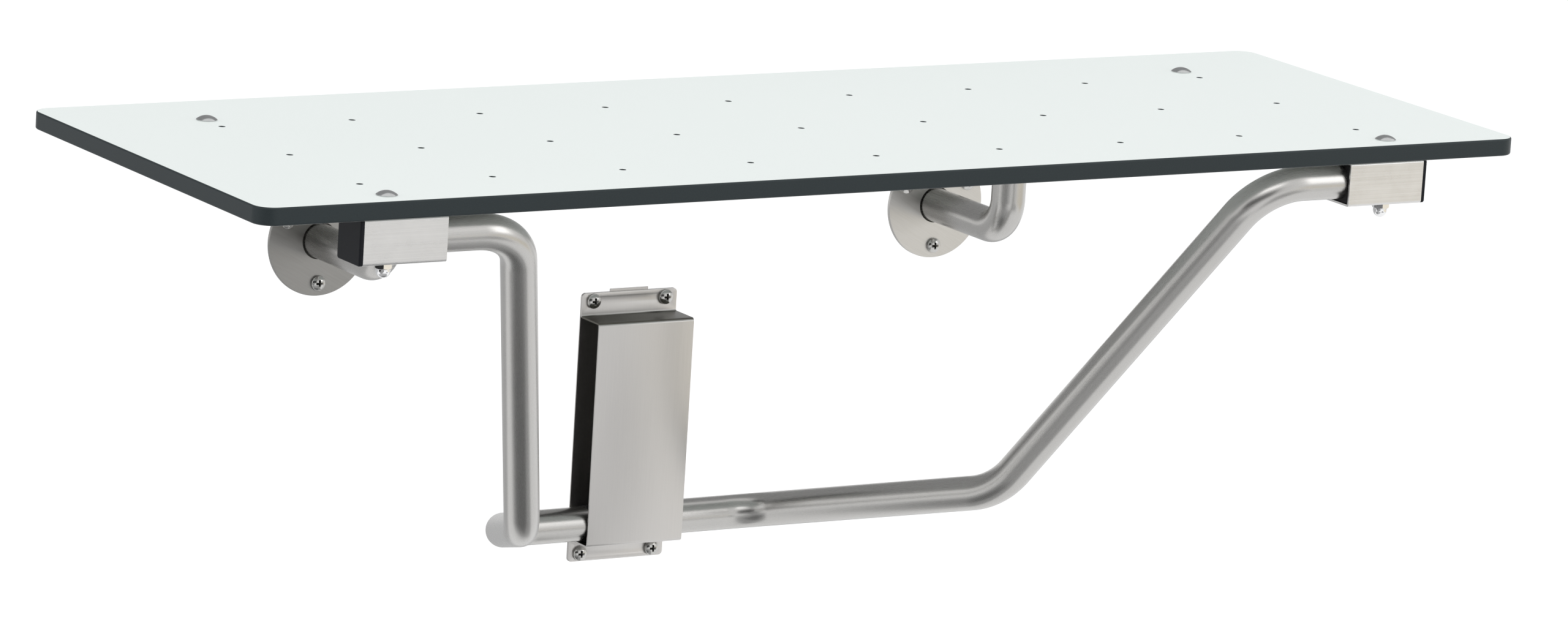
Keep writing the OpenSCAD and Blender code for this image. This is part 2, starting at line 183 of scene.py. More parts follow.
# Floor. Plain and pale, white where the camera sees it, and dimmed only by the seat's shadow.
FLOOR_HALF = 9.0
floor_white = bpy.data.materials.new("floor_white")
floor_white.use_nodes = True
tree = floor_white.node_tree
tree.nodes.clear()
paint = add_node(tree, "ShaderNodeBsdfDiffuse", {"Color": (0.5, 0.5, 0.5, 1)})
glow = add_node(tree, "ShaderNodeEmission", {"Color": (1, 1, 1, 1), "Strength": 0.60})
plain = add_node(tree, "ShaderNodeEmission", {"Color": (0, 0, 0, 1), "Strength": 0.0})
lift = add_node(tree, "ShaderNodeMixShader")
both = add_node(tree, "ShaderNodeAddShader")
output = add_node(tree, "ShaderNodeOutputMaterial")
tree.links.new(seen_directly(tree), lift.inputs[0])
tree.links.new(plain.outputs[0], lift.inputs[1])
tree.links.new(glow.outputs[0], lift.inputs[2])
tree.links.new(paint.outputs[0], both.inputs[0])
tree.links.new(lift.outputs[0], both.inputs[1])
tree.links.new(both.outputs[0], output.inputs[0])
flat_board("floor", [
    Vector((x * FLOOR_HALF, y * FLOOR_HALF, FLOOR_Z)) for x, y in ((-1, -1), (1, -1), (1, 1), (-1, 1))
], floor_white)

# Support frame. One round stainless tube, 25.4 by 1.5 mm, bent six times: out of the left
# front sleeve, down and back to the wall, along it, and the same way up to the right sleeve.
TUBE_R = 12.7 * MM
TUBE_WALL = 1.5 * MM


def draw_bent_tube():
    """Geometry Nodes: rounds the corners of a line, and lays a tube of round section along it."""
    made = bpy.data.node_groups.new("bent_tube", "GeometryNodeTree")
    made.is_modifier = True
    made.interface.new_socket("Line", in_out="INPUT", socket_type="NodeSocketGeometry")
    for name, kind in (
        ("Radius", "NodeSocketFloat"), ("Steps round", "NodeSocketInt"),
        ("Steps in a bend", "NodeSocketInt"), ("Material", "NodeSocketMaterial"),
    ):
        made.interface.new_socket(name, in_out="INPUT", socket_type=kind)
    made.interface.new_socket("Tube", in_out="OUTPUT", socket_type="NodeSocketGeometry")
    given = add_node(made, "NodeGroupInput")
    line = add_node(made, "GeometryNodeMeshToCurve")
    bend = add_node(made, "GeometryNodeInputNamedAttribute", {"Name": "bend"}, data_type="FLOAT")
    fillet = add_node(made, "GeometryNodeFilletCurve", mode="POLY")
    along = add_node(made, "GeometryNodeSplineParameter")
    keep_along = add_node(made, "GeometryNodeStoreNamedAttribute", {"Name": "along"}, data_type="FLOAT", domain="POINT")
    circle = add_node(made, "GeometryNodeCurvePrimitiveCircle")
    place = add_node(made, "GeometryNodeInputPosition")
    keep_round = add_node(made, "GeometryNodeStoreNamedAttribute", {"Name": "round"}, data_type="FLOAT_VECTOR", domain="POINT")
    sweep = add_node(made, "GeometryNodeCurveToMesh")
    smooth = add_node(made, "GeometryNodeSetShadeSmooth")
    real = add_node(made, "GeometryNodeRealizeInstances")
    finish = add_node(made, "GeometryNodeSetMaterial")
    result = add_node(made, "NodeGroupOutput")
    for a, b in (
        (given.outputs["Line"], line.inputs["Mesh"]),
        (line.outputs[0], fillet.inputs["Curve"]),
        (bend.outputs["Attribute"], fillet.inputs["Radius"]),
        (given.outputs["Steps in a bend"], fillet.inputs["Count"]),
        (fillet.outputs[0], keep_along.inputs["Geometry"]),
        (along.outputs["Length"], keep_along.inputs["Value"]),
        (keep_along.outputs[0], sweep.inputs["Curve"]),
        (given.outputs["Steps round"], circle.inputs["Resolution"]),
        (given.outputs["Radius"], circle.inputs["Radius"]),
        (circle.outputs["Curve"], keep_round.inputs["Geometry"]),
        (place.outputs[0], keep_round.inputs["Value"]),
        (keep_round.outputs[0], sweep.inputs["Profile Curve"]),
        (sweep.outputs[0], smooth.inputs["Geometry"]),
        (smooth.outputs[0], real.inputs["Geometry"]),
        (real.outputs[0], finish.inputs["Geometry"]),
        (given.outputs["Material"], finish.inputs["Material"]),
        (finish.outputs[0], result.inputs[0]),
    ):
        made.links.new(a, b)
    return made


def set_inputs(modifier, values):
    """Sets a Geometry Nodes modifier's inputs by their names."""
    for item in modifier.node_group.interface.items_tree:
        if item.item_type == "SOCKET" and item.in_out == "INPUT" and item.name in values:
            modifier[item.identifier] = values[item.name]


def settle(obj, name, sharp=35):
    """The object's mesh as its modifiers leave it, in a new plain object. The old one goes."""
    bpy.context.view_layer.update()
    evaluated = obj.evaluated_get(bpy.context.evaluated_depsgraph_get())
    mesh = bpy.data.meshes.new_from_object(evaluated)
    mesh.name = name
    mesh.shade_smooth()
    mesh.set_sharp_from_angle(angle=math.radians(sharp))
    bpy.data.objects.remove(obj)
    made = bpy.data.objects.new(name, mesh)
    scene.collection.objects.link(made)
    return made


def lay_tube(name, corners, bends, material, nodes, body):
    """A tube along the corners, with a bend radius at each, in place of its CAD node."""
    mesh = bpy.data.meshes.new(name)
    mesh.from_pydata([Vector(c) * MM for c in corners], [(i, i + 1) for i in range(len(corners) - 1)], [])
    mesh.attributes.new("bend", "FLOAT", "POINT").data.foreach_set("value", [b * MM for b in bends])
    line = bpy.data.objects.new(name, mesh)
    scene.collection.objects.link(line)
    rule = line.modifiers.new("tube", "NODES")
    rule.node_group = bent_tube
    set_inputs(rule, {"Radius": TUBE_R, "Steps round": 72, "Steps in a bend": 28, "Material": material})
    shell = line.modifiers.new("wall", "SOLIDIFY")
    shell.thickness = TUBE_WALL
    shell.offset = -1
    shell.use_even_offset = True
    made = settle(line, name)
    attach(made, body)
    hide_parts(*nodes)
    return made


def draw_satin():
    """Shader group: the fine lines and faint clouds of satin metal, run along the vector's Z."""
    made = bpy.data.node_groups.new("satin_lines", "ShaderNodeTree")
    made.interface.new_socket("Vector", in_out="INPUT", socket_type="NodeSocketVector")
    for name, value in (
        ("Across", 900.0), ("Along", 12.0), ("Clouds", 22.0), ("Depth", 0.08),
        ("Low roughness", 0.24), ("High roughness", 0.34),
    ):
        made.interface.new_socket(name, in_out="INPUT", socket_type="NodeSocketFloat").default_value = value
    for name in ("Dark colour", "Light colour"):
        made.interface.new_socket(name, in_out="INPUT", socket_type="NodeSocketColor")
    made.interface.new_socket("Color", in_out="OUTPUT", socket_type="NodeSocketColor")
    made.interface.new_socket("Roughness", in_out="OUTPUT", socket_type="NodeSocketFloat")
    made.interface.new_socket("Normal", in_out="OUTPUT", socket_type="NodeSocketVector")
    given = add_node(made, "NodeGroupInput")
    result = add_node(made, "NodeGroupOutput")
    scale = add_node(made, "ShaderNodeCombineXYZ")
    stretch = add_node(made, "ShaderNodeVectorMath", operation="MULTIPLY")
    lines = add_node(made, "ShaderNodeTexNoise", {"Scale": 1.0, "Detail": 3.0, "Roughness": 0.6})
    clouds = add_node(made, "ShaderNodeTexNoise", {"Detail": 2.0, "Roughness": 0.5})
    together = add_node(made, "ShaderNodeMix", {"Factor": 0.6}, data_type="FLOAT")
    rough = add_node(made, "ShaderNodeMapRange", {"From Min": 0.3, "From Max": 0.7})
    tint = add_node(made, "ShaderNodeMix", data_type="RGBA")
    spread = add_node(made, "ShaderNodeMapRange", {"From Min": 0.3, "From Max": 0.7})
    bump = add_node(made, "ShaderNodeBump", {"Distance": 0.0002})
    for a, b in (
        (given.outputs["Across"], scale.inputs[0]), (given.outputs["Across"], scale.inputs[1]),
        (given.outputs["Along"], scale.inputs[2]),
        (given.outputs["Vector"], stretch.inputs[0]), (scale.outputs[0], stretch.inputs[1]),
        (stretch.outputs[0], lines.inputs["Vector"]),
        (given.outputs["Vector"], clouds.inputs["Vector"]), (given.outputs["Clouds"], clouds.inputs["Scale"]),
        (clouds.outputs[0], together.inputs[2]), (lines.outputs[0], together.inputs[3]),
        (together.outputs[0], rough.inputs["Value"]),
        (given.outputs["Low roughness"], rough.inputs["To Min"]),
        (given.outputs["High roughness"], rough.inputs["To Max"]),
        (rough.outputs[0], result.inputs["Roughness"]),
        (together.outputs[0], spread.inputs["Value"]), (spread.outputs[0], tint.inputs["Factor"]),
        (given.outputs["Dark colour"], tint.inputs[6]), (given.outputs["Light colour"], tint.inputs[7]),
        (tint.outputs[2], result.inputs["Color"]),
        (lines.outputs[0], bump.inputs["Height"]), (given.outputs["Depth"], bump.inputs["Strength"]),
        (bump.outputs[0], result.inputs["Normal"]),
    ):
        made.links.new(a, b)
    return made


def satin_metal(name, dark, light, rough, depth, across, along, turn=None, clouds=22.0):
    """A satin metal. Its lines run along the tube, or on a plain piece along Z after the turn."""
    made = bpy.data.materials.new(name)
    made.use_nodes = True
    tree = made.node_tree
    shader = tree.nodes["Principled BSDF"]
    shader.inputs["Metallic"].default_value = 1.0
    lines = add_node(tree, "ShaderNodeGroup", node_tree=satin_lines)
    for key, value in (
        ("Across", across), ("Along", along), ("Clouds", clouds), ("Depth", depth),
        ("Low roughness", rough[0]), ("High roughness", rough[1]),
        ("Dark colour", (*dark, 1)), ("Light colour", (*light, 1)),
    ):
        lines.inputs[key].default_value = value
    if turn is None:
        ring = add_node(tree, "ShaderNodeAttribute", attribute_name="round")
        run = add_node(tree, "ShaderNodeAttribute", attribute_name="along")
        split = add_node(tree, "ShaderNodeSeparateXYZ")
        join = add_node(tree, "ShaderNodeCombineXYZ")
        tree.links.new(ring.outputs["Vector"], split.inputs[0])
        tree.links.new(split.outputs[0], join.inputs[0])
        tree.links.new(split.outputs[1], join.inputs[1])
        tree.links.new(run.outputs["Fac"], join.inputs[2])
        tree.links.new(join.outputs[0], lines.inputs["Vector"])
    else:
        where = add_node(tree, "ShaderNodeTexCoord")
        mapping = add_node(tree, "ShaderNodeMapping", {"Rotation": [math.radians(a) for a in turn]})
        tree.links.new(where.outputs["Object"], mapping.inputs["Vector"])
        tree.links.new(mapping.outputs[0], lines.inputs["Vector"])
    tree.links.new(lines.outputs["Color"], shader.inputs["Base Color"])
    tree.links.new(lines.outputs["Roughness"], shader.inputs["Roughness"])
    tree.links.new(lines.outputs["Normal"], shader.inputs["Normal"])
    return made


bent_tube = draw_bent_tube()
satin_lines = draw_satin()
tube_steel = satin_metal("tube_steel", (0.47, 0.462, 0.448), (0.505, 0.497, 0.483), (0.26, 0.29), 0.004, 2600, 30)
lay_tube(
    "support_frame_tube",
    [(-396.5, -366.6, 85), (-304, -366.6, 85), (-198, -208, -168.5), (-105, -14.5, -222),
     (105, -14.5, -222), (198, -208, -168.5), (304, -366.6, 85), (396.5, -366.6, 85)],
    [0, 45, 60, 40, 40, 60, 45, 0], tube_steel, ["support_frame"], "support",
)

# Wall tubes. The same tube, bent twice: from the flange straight out, up, and sideways into
# the rear sleeve, which turns on its end when the seat is folded.
for hand, s in (("left", -1), ("right", 1)):
    lay_tube(
        hand + "_wall_arm",
        [(s * 260, 0, 0), (s * 260, -101.6, 0), (s * 260, -101.6, 85), (s * 396.5, -101.6, 85)],
        [0, 24, 24, 0], tube_steel, [hand + "_wall_tube"], "wall_hinges",
    )

# Seat plate. Solid laminate, 12.7 mm thick: a dark core with a thin pale face above and below,
# its edge rounded by 1.5 mm, and 27 drain holes and four bolt holes through it.
PLATE_LOW = Vector((-510, -386.6, 100.9)) * MM
PLATE_HIGH = Vector((510, -35.1, 113.6)) * MM


def round_corners(w, d, r, steps=10, middle=(0, 0)):
    """Outline of a rectangle with round corners, as a rule that takes an inset."""
    def outline(inset):
        points = []
        for i, (x, y) in enumerate(((1, 1), (-1, 1), (-1, -1), (1, -1))):
            for k in range(steps + 1):
                a = math.radians(90 * i + 90 * k / steps)
                reach = max(r - inset, 0.00001)
                points.append((
                    middle[0] + x * (w / 2 - r) + reach * math.cos(a),
                    middle[1] + y * (d / 2 - r) + reach * math.sin(a),
                ))
        return points
    return outline


def round_outline(r, steps=48, middle=(0, 0)):
    """Outline of a circle, as a rule that takes an inset. A hole's inset is negative."""
    def outline(inset):
        return [
            (middle[0] + (r - inset) * math.cos(math.tau * k / steps),
             middle[1] + (r - inset) * math.sin(math.tau * k / steps)) for k in range(steps)
        ]
    return outline


def cut_slab(name, outline, holes, thickness, edge, hole_edge, steps=4):
    """A flat slab from z = 0 to its thickness, with eased edges and holes right through."""
    bm = bmesh.new()

    def profile(ease):
        if ease == 0:
            return [(0, 0), (0, thickness)]
        arc = [math.radians(90 * k / steps) for k in range(steps + 1)]
        low = [(ease * (1 - math.sin(a)), ease * (1 - math.cos(a))) for a in arc]
        return low + [(inset, thickness - z) for inset, z in reversed(low)]

    ends = []
    for rule, ease, sign in [(outline, edge, 1)] + [(h, hole_edge, -1) for h in holes]:
        loops = [[bm.verts.new((x, y, z)) for x, y in rule(sign * inset)] for inset, z in profile(ease)]
        count = len(loops[0])
        for low, high in zip(loops, loops[1:]):
            for k in range(count):
                face = [low[k], low[(k + 1) % count], high[(k + 1) % count], high[k]]
                bm.faces.new(face if sign > 0 else face[::-1])
        ends.append((loops[0], loops[-1]))
    for end, up in ((0, -1), (1, 1)):
        edges = []
        for loops in ends:
            loop = loops[end]
            edges += [bm.edges.get((loop[k], loop[(k + 1) % len(loop)])) for k in range(len(loop))]
        filled = bmesh.ops.triangle_fill(bm, use_beauty=True, use_dissolve=False, edges=edges, normal=(0, 0, up))
        for face in [f for f in filled["geom"] if isinstance(f, bmesh.types.BMFace)]:
            face.normal_update()
            if face.normal.z * up < 0:
                face.normal_flip()
    mesh = bpy.data.meshes.new(name)
    bm.to_mesh(mesh)
    bm.free()
    return mesh


def put(mesh, name, material, body, nodes, sharp=40):
    """A finished mesh as a piece of the seat, in place of its CAD nodes."""
    kept = [face.material_index for face in mesh.polygons]
    mesh.materials.clear()
    for one in material if isinstance(material, list) else [material]:
        mesh.materials.append(one)
    mesh.polygons.foreach_set("material_index", kept)
    mesh.shade_smooth()
    mesh.set_sharp_from_angle(angle=math.radians(sharp))
    made = bpy.data.objects.new(name, mesh)
    scene.collection.objects.link(made)
    shade = made.modifiers.new("shading", "WEIGHTED_NORMAL")
    shade.keep_sharp = True
    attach(made, body)
    if nodes:
        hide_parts(*nodes)
    return made


def laminate_material():
    """Pale faces over a dark core, told apart by height, with a faint fine grain on each."""
    made = bpy.data.materials.new("seat_laminate")
    made.use_nodes = True
    tree = made.node_tree
    shader = tree.nodes["Principled BSDF"]
    shader.inputs["Specular IOR Level"].default_value = 0.22
    where = add_node(tree, "ShaderNodeTexCoord")
    split = add_node(tree, "ShaderNodeSeparateXYZ")
    middle = (PLATE_LOW.z + PLATE_HIGH.z) / 2
    depth = add_node(tree, "ShaderNodeMath", {1: middle}, operation="SUBTRACT")
    far = add_node(tree, "ShaderNodeMath", operation="ABSOLUTE")
    half = (PLATE_HIGH.z - PLATE_LOW.z) / 2
    face = add_node(tree, "ShaderNodeMapRange", {"From Min": half - 0.22 * MM, "From Max": half - 0.08 * MM})
    grain = add_node(tree, "ShaderNodeTexNoise", {"Scale": 900.0, "Detail": 3.0, "Roughness": 0.6})
    haze = add_node(tree, "ShaderNodeTexNoise", {"Scale": 2.2, "Detail": 2.0, "Roughness": 0.5})
    pale = add_node(tree, "ShaderNodeMix", {6: (0.85, 0.90, 0.875, 1), 7: (0.885, 0.93, 0.905, 1)}, data_type="RGBA")
    core_mix = add_node(tree, "ShaderNodeMix", {6: (0.020, 0.028, 0.031, 1), 7: (0.030, 0.040, 0.043, 1)}, data_type="RGBA")
    whole = add_node(tree, "ShaderNodeMix", data_type="RGBA")
    rough = add_node(tree, "ShaderNodeMapRange", {"To Min": 0.36, "To Max": 0.46})
    bump = add_node(tree, "ShaderNodeBump", {"Strength": 0.05, "Distance": 0.0001})
    for a, b in (
        (where.outputs["Object"], split.inputs[0]), (split.outputs[2], depth.inputs[0]),
        (depth.outputs[0], far.inputs[0]), (far.outputs[0], face.inputs["Value"]),
        (where.outputs["Object"], grain.inputs["Vector"]), (where.outputs["Object"], haze.inputs["Vector"]),
        (haze.outputs[0], pale.inputs["Factor"]), (grain.outputs[0], core_mix.inputs["Factor"]),
        (face.outputs[0], whole.inputs["Factor"]), (core_mix.outputs[2], whole.inputs[6]),
        (pale.outputs[2], whole.inputs[7]), (whole.outputs[2], shader.inputs["Base Color"]),
        (grain.outputs[0], rough.inputs["Value"]), (rough.outputs[0], shader.inputs["Roughness"]),
        (grain.outputs[0], bump.inputs["Height"]), (bump.outputs[0], shader.inputs["Normal"]),
    ):
        tree.links.new(a, b)
    return made


middle = (PLATE_LOW + PLATE_HIGH) / 2
size = PLATE_HIGH - PLATE_LOW
DRAIN_STEP = 101.6 * MM
BOLT_PLACES = [(s * 406 * MM, y * MM) for s in (-1, 1) for y in (-101.6, -366.6)]
plate_holes = [
    round_outline(2.5 * MM, 32, (column * DRAIN_STEP, -0.1256 - row * DRAIN_STEP - middle.y))
    for column in range(-4, 5) for row in range(3)
]
plate_holes += [round_outline(3.4 * MM, 24, (x, y - middle.y)) for x, y in BOLT_PLACES]
plate = cut_slab(
    "seat_board", round_corners(size.x, size.y, 14 * MM, 12), plate_holes, size.z, 1.5 * MM, 0.1 * MM, 6,
)
plate.transform(Matrix.Translation((0, middle.y, PLATE_LOW.z)))
seat_laminate = laminate_material()
put(plate, "seat_board", seat_laminate, "seat", ["seat_plate"])

# Hinge sleeves. Square stainless tube, 31.8 by 1.6 mm and 63.5 mm long, sawn to length,
# brushed lengthwise, and bolted under the plate.
SLEEVE_HALF = 15.9 * MM
SLEEVE_WALL = 1.6 * MM
SLEEVE_IN, SLEEVE_OUT = 366.5 * MM, 430 * MM
AXIS_Z = 85 * MM
AXES = (("front", -366.6 * MM), ("rear", -101.6 * MM))
sleeve_steel = satin_metal(
    "sleeve_steel", (0.575, 0.57, 0.562), (0.70, 0.694, 0.684), (0.24, 0.34), 0.10, 1100, 7, (0, 90, 0), 60.0,
)


def swept_section(name, outer, inner, x0, x1, ease, steps=2):
    """A hollow bar along X, from an outer and an inner outline, its cut ends eased."""
    bm = bmesh.new()
    loops = []
    arc = [math.radians(90 * k / steps) for k in range(steps + 1)]
    low = [(ease * (1 - math.sin(a)), x0 + ease * (1 - math.cos(a))) for a in arc]
    high = [(inset, x0 + x1 - x) for inset, x in reversed(low)]
    for inset, x in low + high:
        loops.append([bm.verts.new((x, y, z)) for y, z in outer(inset)])
    for inset, x in reversed(low + high):
        loops.append([bm.verts.new((x, y, z)) for y, z in inner(-inset)])
    count = len(loops[0])
    for a, b in zip(loops, loops[1:] + loops[:1]):
        for k in range(count):
            bm.faces.new((a[k], a[(k + 1) % count], b[(k + 1) % count], b[k]))
    bmesh.ops.recalc_face_normals(bm, faces=bm.faces)
    mesh = bpy.data.meshes.new(name)
    bm.to_mesh(mesh)
    bm.free()
    return mesh


def mirror_x(mesh):
    """The mesh's mirror image in X = 0, its faces still pointing outwards."""
    mesh.transform(Matrix.Diagonal((-1, 1, 1, 1)))
    mesh.flip_normals()


for row, y in AXES:
    for hand, s in (("left", -1), ("right", 1)):
        name = row + "_" + hand
        w = 2 * SLEEVE_HALF
        bore = w - 2 * SLEEVE_WALL
        mesh = swept_section(
            name + "_hinge_sleeve", round_corners(w, w, 2 * MM, 6, (y, AXIS_Z)),
            round_corners(bore, bore, 0.4 * MM, 6, (y, AXIS_Z)), SLEEVE_IN, SLEEVE_OUT, 0.25 * MM,
        )
        if s < 0:
            mirror_x(mesh)
        put(mesh, name + "_hinge_sleeve", sleeve_steel, "seat", [name + "_sleeve"])

# End plugs. Black moulded plastic, pushed into the sleeve's outer end: a head as wide as the
# sleeve with a bevelled face, over a hollow body with thin walls.
def moulded_material(name, colour, rough, speck):
    """Moulded plastic: near black, with a fine even texture that varies its gloss."""
    made = bpy.data.materials.new(name)
    made.use_nodes = True
    tree = made.node_tree
    shader = tree.nodes["Principled BSDF"]
    shader.inputs["Specular IOR Level"].default_value = 0.08
    where = add_node(tree, "ShaderNodeTexCoord")
    grain = add_node(tree, "ShaderNodeTexNoise", {"Scale": speck, "Detail": 2.0})
    tint = add_node(tree, "ShaderNodeMix", {
        6: (*[c * 0.85 for c in colour], 1), 7: (*[c * 1.15 for c in colour], 1),
    }, data_type="RGBA")
    rough_range = add_node(tree, "ShaderNodeMapRange", {"To Min": rough - 0.05, "To Max": rough + 0.07})
    bump = add_node(tree, "ShaderNodeBump", {"Strength": 0.12, "Distance": 0.0001})
    for a, b in (
        (where.outputs["Object"], grain.inputs["Vector"]), (grain.outputs[0], tint.inputs["Factor"]),
        (tint.outputs[2], shader.inputs["Base Color"]), (grain.outputs[0], rough_range.inputs["Value"]),
        (rough_range.outputs[0], shader.inputs["Roughness"]), (grain.outputs[0], bump.inputs["Height"]),
        (bump.outputs[0], shader.inputs["Normal"]),
    ):
        tree.links.new(a, b)
    return made


def moulded_plug(name, y):
    """A plug along X: body, then head, each a ring of the sleeve's own shape, closed outside."""
    head, body, cavity = 2 * SLEEVE_HALF, 28.4 * MM, 24.4 * MM
    depth, thick, bevel = 12 * MM, 3 * MM, 0.8 * MM
    bm = bmesh.new()
    stations = [
        (cavity, 0.4, SLEEVE_OUT), (cavity, 0.4, SLEEVE_OUT - depth), (body, 0.4, SLEEVE_OUT - depth),
        (body, 0.4, SLEEVE_OUT), (head - 0.4 * MM, 1.8, SLEEVE_OUT), (head, 2.0, SLEEVE_OUT + 0.2 * MM),
        (head, 2.0, SLEEVE_OUT + thick - bevel), (head - 0.7 * bevel, 1.8, SLEEVE_OUT + thick - 0.4 * bevel),
        (head - 2.2 * bevel, 1.6, SLEEVE_OUT + thick),
    ]
    loops = [
        [bm.verts.new((x, py, pz)) for py, pz in round_corners(w, w, r * MM, 6, (y, AXIS_Z))(0)]
        for w, r, x in stations
    ]
    count = len(loops[0])
    for a, b in zip(loops, loops[1:]):
        for k in range(count):
            bm.faces.new((a[k], a[(k + 1) % count], b[(k + 1) % count], b[k]))
    bm.faces.new(loops[0])
    bm.faces.new(loops[-1])
    bmesh.ops.recalc_face_normals(bm, faces=bm.faces)
    mesh = bpy.data.meshes.new(name)
    bm.to_mesh(mesh)
    bm.free()
    return mesh


plug_plastic = moulded_material("plug_plastic", (0.012, 0.013, 0.016), 0.38, 1400)
for row, y in AXES:
    for hand, s in (("left", -1), ("right", 1)):
        name = row + "_" + hand
        mesh = moulded_plug(name + "_end_plug", y)
        if s < 0:
            mirror_x(mesh)
        put(mesh, name + "_end_plug", plug_plastic, "seat", [name + "_plug"], 30)

# Bushes. Black nylon, a square block with a round bore, set just inside the sleeve's inner
# end, where the tube turns in it.
nylon = moulded_material("nylon", (0.018, 0.018, 0.019), 0.5, 900)
for row, y in AXES:
    for hand, s in (("left", -1), ("right", 1)):
        name = row + "_" + hand
        steps = 12
        outer = round_corners(28.4 * MM, 28.4 * MM, 0.6 * MM, steps - 1, (y, AXIS_Z))
        bore = round_outline(12.75 * MM, 4 * steps, (y, AXIS_Z))
        mesh = swept_section(
            name + "_hinge_bush", outer, bore, SLEEVE_IN + 0.8 * MM, SLEEVE_IN + 30 * MM, 0.3 * MM,
        )
        if s < 0:
            mirror_x(mesh)
        put(mesh, name + "_hinge_bush", nylon, "seat", [name + "_bush"])

# Seat bolts. Polished stainless, a low domed head 15 mm wide, through the plate and the
# sleeve. The bolt's square neck is drawn as a round shank.
def turned(bm, profile, steps=64, start=None):
    """Adds the solid that a profile of (radius, height) points sweeps about the Z axis."""
    loops = []
    for r, z in profile:
        if r == 0:
            loops.append([bm.verts.new((0, 0, z))])
        else:
            loops.append([
                bm.verts.new((r * math.cos(math.tau * k / steps), r * math.sin(math.tau * k / steps), z))
                for k in range(steps)
            ])
    for a, b in zip(loops, loops[1:]):
        for k in range(steps):
            n = (k + 1) % steps
            corners = [a[k % len(a)], a[n % len(a)], b[n % len(b)], b[k % len(b)]]
            face = []
            for v in corners:
                if v not in face:
                    face.append(v)
            if len(face) > 2:
                bm.faces.new(face)
    for loop in (loops[0], loops[-1]):
        if len(loop) > 1:
            bm.faces.new(loop)


def dome(d, rim, h, steps=14):
    """Profile of a domed head from its rim to its top, from the underside at z = 0."""
    rise = h - rim
    r = (d * d / 4 + rise * rise) / (2 * rise)
    half = math.asin(d / 2 / r)
    return [(r * math.sin(half * (1 - k / steps)), h - r + r * math.cos(half * (1 - k / steps))) for k in range(steps + 1)]


def turned_mesh(name, profiles):
    bm = bmesh.new()
    for profile in profiles:
        turned(bm, [(max(r, 0) * MM, z * MM) for r, z in profile])
    bmesh.ops.recalc_face_normals(bm, faces=bm.faces)
    mesh = bpy.data.meshes.new(name)
    bm.to_mesh(mesh)
    bm.free()
    return mesh


def draw_placed():
    """Geometry Nodes: sets a copy of one part at each point, turned as the point says."""
    made = bpy.data.node_groups.new("placed_copies", "GeometryNodeTree")
    made.is_modifier = True
    for name, kind in (
        ("Points", "NodeSocketGeometry"), ("Part", "NodeSocketObject"), ("Material", "NodeSocketMaterial"),
    ):
        made.interface.new_socket(name, in_out="INPUT", socket_type=kind)
    made.interface.new_socket("Copies", in_out="OUTPUT", socket_type="NodeSocketGeometry")
    given = add_node(made, "NodeGroupInput")
    part = add_node(made, "GeometryNodeObjectInfo")
    turn = add_node(made, "GeometryNodeInputNamedAttribute", {"Name": "turn"}, data_type="FLOAT_VECTOR")
    euler = add_node(made, "FunctionNodeEulerToRotation")
    copies = add_node(made, "GeometryNodeInstanceOnPoints")
    real = add_node(made, "GeometryNodeRealizeInstances")
    finish = add_node(made, "GeometryNodeSetMaterial")
    result = add_node(made, "NodeGroupOutput")
    for a, b in (
        (given.outputs["Points"], copies.inputs["Points"]), (given.outputs["Part"], part.inputs["Object"]),
        (part.outputs["Geometry"], copies.inputs["Instance"]), (turn.outputs["Attribute"], euler.inputs[0]),
        (euler.outputs[0], copies.inputs["Rotation"]), (copies.outputs[0], real.inputs["Geometry"]),
        (real.outputs[0], finish.inputs["Geometry"]), (given.outputs["Material"], finish.inputs["Material"]),
        (finish.outputs[0], result.inputs[0]),
    ):
        made.links.new(a, b)
    return made


def place_copies(name, mesh, places, turns, material, body, nodes, sharp=35):
    """One piece made of like parts, each at its place, for instance the screws of a flange."""
    part = bpy.data.objects.new(name + "_part", mesh)
    scene.collection.objects.link(part)
    points = bpy.data.meshes.new(name + "_points")
    points.from_pydata([Vector(p) for p in places], [], [])
    points.attributes.new("turn", "FLOAT_VECTOR", "POINT").data.foreach_set("vector", [a for t in turns for a in t])
    holder = bpy.data.objects.new(name, points)
    scene.collection.objects.link(holder)
    rule = holder.modifiers.new("copies", "NODES")
    rule.node_group = placed_copies
    set_inputs(rule, {"Part": part, "Material": material})
    made = settle(holder, name, sharp)
    bpy.data.objects.remove(part)
    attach(made, body)
    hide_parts(*nodes)
    return made


placed_copies = draw_placed()
bolt_steel = satin_metal("bolt_steel", (0.50, 0.51, 0.51), (0.60, 0.61, 0.61), (0.14, 0.22), 0.03, 1200, 1200, (0, 0, 0), 160.0)
bolt_mesh = turned_mesh("seat_bolt", [
    [(2.7, -50.7), (3.175, -50.2), (3.175, 0.0), (7.2, 0.0), (7.45, 0.18)] + dome(14.9, 0.5, 3.3),
])
place_copies(
    "seat_bolt_heads", bolt_mesh, [(x, y, PLATE_HIGH.z) for x, y in BOLT_PLACES], [(0, 0, 0)] * 4,
    bolt_steel, "seat", ["seat_bolts"],
)

